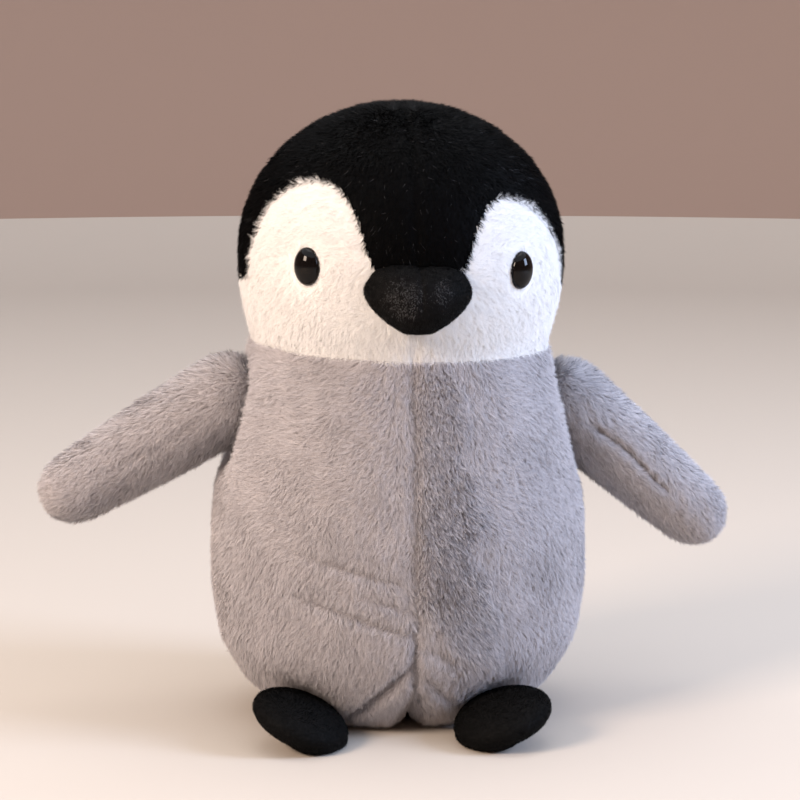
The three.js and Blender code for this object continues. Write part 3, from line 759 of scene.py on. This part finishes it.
def make_flipper(side_name, side):
    """A filled flipper skin that turns in the armhole, and its fur, combed towards the tip."""
    panels = [f"flipper_{side_name}_{part}_panel" for part in ("top", "bottom")]
    skin = skin_from(f"flipper_{side_name}_skin", panels, FLIPPER_VOXEL, as_hull=True)
    points, normals, _ = mesh_arrays(skin)
    pivot = PIVOTS[side_name]
    out = distance_to(points, pivot)
    root_held = 1 - smooth_step(out, 30 * MM, 45 * MM)
    set_points(skin, points + normals * (SKIN_OUT * (1 - root_held) - ROOT_SINK * root_held)[:, None])
    fill_with_stuffing(skin, root_held, SWELL_MOST)
    subdivide(skin)
    points, normals, _ = mesh_arrays(skin)
    set_points(skin, points - normals * flipper_crease(points, side_name)[:, None])
    skin.data.materials.append(BACKING["grey"])
    body = f"flipper_{side_name}"
    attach(skin, body)
    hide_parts(*panels, f"flipper_{side_name}_stuffing", f"flipper_{side_name}_seam_allowance")
    root, normal = roots_on(skin, GREY_DENSITY, 301 + side)
    outward = distance_to(root, pivot)
    inside = root[:, 0] * side < pivot.x * side - INNER_BALD
    root, normal, outward = root[~inside], normal[~inside], outward[~inside]
    comb = along_skin(np.tile(tip_way(side_name), (len(root), 1)) + np.array((0, 0, -0.3)), normal)
    creased = np.minimum(1, flipper_crease(root, side_name) / (2 * MM))
    at_root = 1 - smooth_step(outward, 28 * MM, 40 * MM)
    length = PILE * FLIPPER_LENGTH * (1 - CREASE_SHORT * creased)
    grow_fur(f"flipper_{side_name}_fur", root, normal, comb, length, "grey", body,
             # painted shade along the crease
             310 + 20 * side, stand=0.5 + 0.3 * at_root, shade=FLIPPER_CREASE_SHADE * creased, spread=0.8)


# ---- feet and beak ---------------------------------------------------------------------------
VELOUR_SHADE = -0.8
VELOUR_PILE = 1.3 * MM
SOLE_BALD = 0.8 * MM  # no pile grows nearer a piece's lowest point than this


def make_velour(name, node_names, replaced, body, voxel, as_hull, inset, most, seed, crease=None,
                painted_sheen=None):
    """A stuffed velour piece: a filled skin under a short, dense pile."""
    skin = skin_from(f"{name}_skin", node_names, voxel, as_hull)
    points, normals, _ = mesh_arrays(skin)
    foot = points[:, 2].min()
    held = 1 - smooth_step(points[:, 2], foot + 1 * MM, foot + 4 * MM)
    set_points(skin, points - normals * inset * (1 - held)[:, None])
    fill_with_stuffing(skin, held, most)
    subdivide(skin)
    if crease:
        points, normals, _ = mesh_arrays(skin)
        set_points(skin, points - normals * crease(points)[:, None])
    skin.data.materials.append(BACKING["velour"])
    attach(skin, body)
    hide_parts(*replaced)
    root, normal = roots_on(skin, VELOUR_DENSITY, seed)
    kept = root[:, 2] > points[:, 2].min() + SOLE_BALD
    root, normal = root[kept], normal[kept]
    comb = along_skin(np.tile((0.0, -0.4, -1.0), (len(root), 1)), normal)
    # the beak's painted sheen where given, else the velour's plain tone
    shade = painted_sheen(root) if painted_sheen else VELOUR_SHADE
    grow_fur(f"{name}_pile", root, normal, comb, np.full(len(root), VELOUR_PILE), "velour", body,
             seed + 3, width=0.26 * MM, stand=0.8, tuft_share=0.3, gather=0.25,
             shade=shade, spread=0.7)


def make_feet():
    for side_name, side in SIDES:
        panels = [f"foot_{side_name}_{part}_panel" for part in ("upper", "sole")]
        replaced = [*panels, f"foot_{side_name}_stuffing", f"foot_{side_name}_seam_thread"]
        make_velour(f"foot_{side_name}", panels, replaced, f"foot_{side_name}", voxel=2.5 * MM,
                    as_hull=True, inset=2 * MM, most=1.5 * MM, seed=401 + 10 * side)


BEAK_SEAM_DEPTH, BEAK_SEAM_WIDTH = 0.5 * MM, 1.6 * MM


def beak_crease(points):
    """How deep the beak's upright seam is drawn in, which fades out towards its lower edge."""
    upright = BEAK_SEAM_DEPTH * np.exp(-(((points[:, 0] - BEAK_CENTRE.x) / BEAK_SEAM_WIDTH) ** 2))
    rise = (points[:, 2] - BEAK_LOW.z) / (BEAK_HIGH.z - BEAK_LOW.z)
    return upright * smooth_step(rise, 0.15, 0.4)


# The beak's painted sheen patches: x and z from its middle, half width, half height and strength.
BEAK_SHEEN_PATCHES = ((-10 * MM, 1 * MM, 10 * MM, 10 * MM, 1.0), (12 * MM, 4 * MM, 5 * MM, 8 * MM, 0.6))
BEAK_SHADE = VELOUR_SHADE + 0.1
BEAK_SHEEN = 5.0  # in tones
# Painted sheen: how strongly its streaks vary, and their length.
STREAKS, STREAK_LENGTH = 0.5, 4 * MM


def beak_sheen(points):
    """The beak's lightness in tones, with a painted sheen in streaks on each side of its upright seam."""
    x, z = points[:, 0] - BEAK_CENTRE.x, points[:, 2] - BEAK_CENTRE.z
    light = sum(strength * np.exp(-(((x - patch_x) / half_wide) ** 2 + ((z - patch_z) / half_high) ** 2))
                for patch_x, patch_z, half_wide, half_high, strength in BEAK_SHEEN_PATCHES)
    streaks = 1 + STREAKS * waves(points, STREAK_LENGTH, 447)
    return BEAK_SHADE + BEAK_SHEEN * light * streaks


def make_beak():
    nodes = ["beak_upper_panel", "beak_lower_panel", "beak_stuffing"]
    make_velour("beak", nodes, nodes, "torso", voxel=1.6 * MM, as_hull=False, inset=0.6 * MM,
                most=1.2 * MM, seed=441, crease=beak_crease, painted_sheen=beak_sheen)


# ---- eyes ------------------------------------------------------------------------------------
EYE_DEPTH = 6.5 * MM  # half of the dome's ball, front to back
EYE_SINK = 5.2 * MM - 6 * MM  # from the middle of the CAD eye to the middle of that ball
EYE_SEGMENTS, EYE_RINGS = 64, 40


def make_eye(side_name, material):
    """A glossy oval dome in an eye's place, with its back sunk in the head."""
    middle, outward = eye_place(side_name)
    low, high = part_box(f"eye_{side_name}")
    half_high = (high.z - low.z) / 2
    half_wide = half_high * EYE_ASPECT
    shape = bmesh.new()
    bmesh.ops.create_uvsphere(shape, u_segments=EYE_SEGMENTS, v_segments=EYE_RINGS, radius=1)
    sideways = outward.cross(Vector((0, 0, 1))).normalized()
    turned = Matrix((sideways, outward, sideways.cross(outward))).transposed().to_4x4()
    place = Matrix.Translation(middle + outward * EYE_SINK)
    size = Matrix.Diagonal((half_wide, EYE_DEPTH, half_high, 1))
    bmesh.ops.transform(shape, verts=shape.verts, matrix=place @ turned @ size)
    mesh = bpy.data.meshes.new(f"eye_{side_name}_dome")
    shape.to_mesh(mesh)
    shape.free()
    mesh.polygons.foreach_set("use_smooth", np.ones(len(mesh.polygons), dtype=bool))
    mesh.materials.append(material)
    eye = new_object(f"eye_{side_name}_dome", mesh)
    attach(eye, "torso")
    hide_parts(f"eye_{side_name}")


# ---- camera, lights and floor ----------------------------------------------------------------
def look_at(obj, target):
    obj.rotation_euler = (Vector(target) - obj.location).to_track_quat("-Z", "Y").to_euler()


HALF_FRAME = 0.246  # metres seen from the picture's middle to its edge, at the target


def make_camera():
    azimuth, elevation, distance = math.radians(-6.7), math.radians(8.5), 1.45
    target = Vector((0.001, 0, 0.1925))
    data = bpy.data.cameras.new("camera")
    data.angle = 2 * math.atan(HALF_FRAME / distance)
    camera = bpy.data.objects.new("camera", data)
    camera.location = target + distance * Vector((math.sin(azimuth) * math.cos(elevation),
                                                  -math.cos(azimuth) * math.cos(elevation),
                                                  math.sin(elevation)))
    look_at(camera, target)
    bpy.context.scene.collection.objects.link(camera)
    bpy.context.scene.camera = camera


LIT_PLACE = (0, 0, 0.2)  # what every light is turned to


def area_light(name, place, size, power, colour):
    data = bpy.data.lights.new(name, "AREA")
    data.shape = "RECTANGLE"
    data.size, data.size_y = size
    data.energy = power
    data.color = colour
    light = bpy.data.objects.new(name, data)
    light.location = place
    look_at(light, LIT_PLACE)
    bpy.context.scene.collection.objects.link(light)


CREAM, BROWN = (0.53, 0.475, 0.415), (0.34, 0.235, 0.185)
FLOOR_RADIUS, BEND, WALL_TOP = 2.6, 1.2, 3.2  # metres
BEND_STEPS, BACKDROP_SIDES = 12, 96
FLOOR_DROP = 0.5 * MM  # how far the floor lies under the part, so that no two faces share a plane
BROWN_FROM = 0.1  # of the bend's height: the backdrop is brown above it


def make_backdrop():
    """A round pale floor that curves up into a brown wall all round, the same from every side."""
    profile = [(FLOOR_RADIUS, 0.0)]
    for i in range(1, BEND_STEPS + 1):
        turn = math.pi / 2 * i / BEND_STEPS
        profile.append((FLOOR_RADIUS + BEND * math.sin(turn), BEND * (1 - math.cos(turn))))
    profile.append((FLOOR_RADIUS + BEND, WALL_TOP))
    angles = [2 * math.pi * k / BACKDROP_SIDES for k in range(BACKDROP_SIDES)]
    shape = bmesh.new()
    rings = [[shape.verts.new((radius * math.cos(angle), radius * math.sin(angle), z - FLOOR_DROP))
              for angle in angles] for radius, z in profile]
    middle = shape.verts.new((0, 0, -FLOOR_DROP))
    for k in range(BACKDROP_SIDES):
        after = (k + 1) % BACKDROP_SIDES
        shape.faces.new((middle, rings[0][k], rings[0][after]))
        for low, high in zip(rings, rings[1:]):
            shape.faces.new((low[k], high[k], high[after], low[after]))
    mesh = bpy.data.meshes.new("backdrop")
    shape.to_mesh(mesh)
    shape.free()
    mesh.polygons.foreach_set("use_smooth", np.ones(len(mesh.polygons), dtype=bool))
    mesh.materials.append(new_material("backdrop_cream", CREAM, 0.8))
    mesh.materials.append(new_material("backdrop_brown", BROWN, 0.8))
    on_wall = [face.center.z > BEND * BROWN_FROM for face in mesh.polygons]
    mesh.polygons.foreach_set("material_index", np.array(on_wall, dtype=np.int32))
    new_object("backdrop", mesh)


def make_stage():
    """The backdrop, a pale surround, a warm window, a cool one opposite it and a soft top light."""
    make_backdrop()
    bpy.context.scene.view_settings.view_transform = "Standard"
    world = bpy.data.worlds.new("studio")
    world.use_nodes = True
    surround = world.node_tree.nodes["Background"]
    surround.inputs["Color"].default_value = (0.90, 0.93, 1.0, 1)
    surround.inputs["Strength"].default_value = 1.36
    bpy.context.scene.world = world
    area_light("warm_window", place=(-1.6, -1.1, 1.2), size=(0.7, 0.7), power=50,
               colour=(1.0, 0.80, 0.65))
    area_light("cool_window", place=(1.8, -0.7, 1.0), size=(0.7, 0.9), power=51,
               colour=(0.58, 0.72, 1.0))
    area_light("top_soft", place=(0, 0.2, 2.2), size=(1.4, 1.4), power=12, colour=(1.0, 0.97, 0.94))


make_camera()
make_stage()
body_skin, head_skin = make_torso()
dress_body(body_skin)
colour_head(head_skin)
dress_head(head_skin)
for flipper_name, flipper_side in SIDES:
    make_flipper(flipper_name, flipper_side)
make_feet()
make_beak()
eye_gloss = new_material("eye_gloss", (0.003, 0.0022, 0.002), 0.04, Specular_IOR_Level=0.2)
for eye_name, _ in SIDES:
    make_eye(eye_name, eye_gloss)
